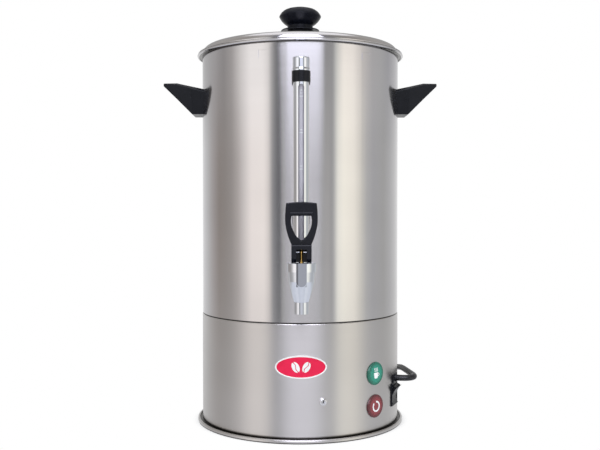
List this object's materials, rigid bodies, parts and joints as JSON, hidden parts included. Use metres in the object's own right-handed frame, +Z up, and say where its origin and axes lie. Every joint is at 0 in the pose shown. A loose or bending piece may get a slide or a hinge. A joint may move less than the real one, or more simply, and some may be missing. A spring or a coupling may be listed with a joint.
{
  "type": "coffee urn",
  "caption": "Tall steel percolating drink urn with a tap, a sight gauge, a lift-off domed lid, side handles, a lit base and a mains cord.",
  "frame": {"origin": "the centre of the foot ring, in the plane of the surface that the urn stands on", "axes": "+Z up along the urn's axis, -Y towards the tap, +X to the right of someone facing the tap"},
  "size_m": [0.346, 0.4439, 0.529],
  "materials": {
    "steel": "fine horizontal grain",
    "bright_steel": "polished",
    "galvanised": "dull galvanised sheet",
    "zinc": "bright zinc plate",
    "spring_steel": "drawn wire",
    "sheath": "heat-tinted heater sheath",
    "chrome": "bright plated",
    "aluminium": "satin spun sheet",
    "brass": "turned",
    "red_enamel": "gloss red with a bright raised rim",
    "green_lens": "translucent green lens",
    "red_lens": "translucent dark red lens",
    "black_moulding": "semi-matt black moulding",
    "white_moulding": "white moulding",
    "clear_tube": "clear tube",
    "silicone": "soft silicone",
    "black_rubber": "smooth cable sheath",
    "wire_cover": "glass-braid wire cover"
  },
  "bodies": {
    "urn": {"tank_shell": "steel", "base_skirt": "steel", "bottom_cover": "galvanised", "tie_studs": "zinc", "cover_nuts": "zinc", "badge_plate": "red_enamel", "heater_plate": "aluminium", "boil_element": "sheath", "warm_element": "sheath", "boil_thermostat": "black_moulding", "warm_thermostat": "black_moulding", "thermostat_bracket": "galvanised", "terminal_bracket": "galvanised", "terminal_block": "white_moulding", "front_screw": "zinc", "ready_lamp_lens": "green_lens", "ready_lamp_body": "white_moulding", "power_lamp_lens": "red_lens", "power_lamp_body": "white_moulding", "switch_bezel": "black_moulding", "switch_body": "black_moulding", "strain_relief": "black_moulding", "power_cord": "black_rubber", "cord_coil": "black_rubber", "plug": "black_rubber", "plug_pins": "brass", "left_handle": "black_moulding", "right_handle": "black_moulding", "handle_screws": "zinc", "tap_body": "chrome", "tap_bonnet": "chrome", "valve_spring": "spring_steel", "shank_nut": "brass", "outer_gasket": "silicone", "inner_gasket": "silicone", "gauge_glass": "clear_tube", "gauge_nut": "chrome", "gauge_seals": "silicone", "gauge_guard": "bright_steel", "gauge_clip": "black_moulding", "gauge_cap": "chrome", "gauge_clip_screw": "zinc", "hookup_wires": "wire_cover", "inner_cord": "black_rubber"},
    "lid": {"lid_shell": "steel", "lid_knob": "black_moulding", "knob_collar": "black_moulding", "knob_washer": "zinc", "knob_screw": "zinc"},
    "spreader": {"basket_cover": "aluminium"},
    "basket": {"coffee_basket": "aluminium"},
    "pump": {"pump_tube": "aluminium", "pump_bell": "aluminium"},
    "pump_valve": {"pump_valve_disc": "aluminium"},
    "valve": {"valve_stem": "brass", "seat_washer": "silicone", "tap_pin": "zinc"},
    "tap_lever": {"tap_handle": "black_moulding"},
    "rocker": {"switch_rocker": "black_moulding"}
  },
  "joints": [
    {"name": "lid_lift", "type": "slide", "parent": "urn", "child": "lid", "axis": [0, 0, 1], "range_m": [0, 0.62]},
    {"name": "basket_cover_lift", "type": "slide", "parent": "urn", "child": "spreader", "axis": [0, 0, 1], "range_m": [0, 0.6]},
    {"name": "basket_lift", "type": "slide", "parent": "urn", "child": "basket", "axis": [0, 0, 1], "range_m": [0, 0.56]},
    {"name": "pump_lift", "type": "slide", "parent": "urn", "child": "pump", "axis": [0, 0, 1], "range_m": [0, 0.38]},
    {"name": "pump_valve_hop", "type": "slide", "parent": "pump", "child": "pump_valve", "axis": [0, 0, 1], "range_m": [0, 0.0035]},
    {"name": "stem_lift", "type": "slide", "parent": "urn", "child": "valve", "axis": [0, 0, 1], "range_m": [0, 0.0032], "stiffness_N_per_m": 800, "springref_m": -0.004, "deforming": ["valve_spring"]},
    {"name": "tap_handle_tilt", "type": "hinge", "parent": "valve", "child": "tap_lever", "pos_m": [0, -0.17, 0.2233], "axis": [1, 0, 0], "range_deg": [0, 91]},
    {"name": "switch_rock", "type": "hinge", "parent": "urn", "child": "rocker", "pos_m": [0.11489, -0.04503, 0.0403], "axis": [0.3649, 0.9311, 0], "range_deg": [-26, 0]}
  ],
  "couplings": [
    {"joint": "basket_cover_lift", "follows": "lid_lift", "ratio": 0.95},
    {"joint": "basket_lift", "follows": "lid_lift", "ratio": 0.88},
    {"joint": "pump_lift", "follows": "lid_lift", "ratio": 0.6},
    {"joint": "tap_handle_tilt", "follows": "stem_lift", "rad_per_m": 490}
  ]
}
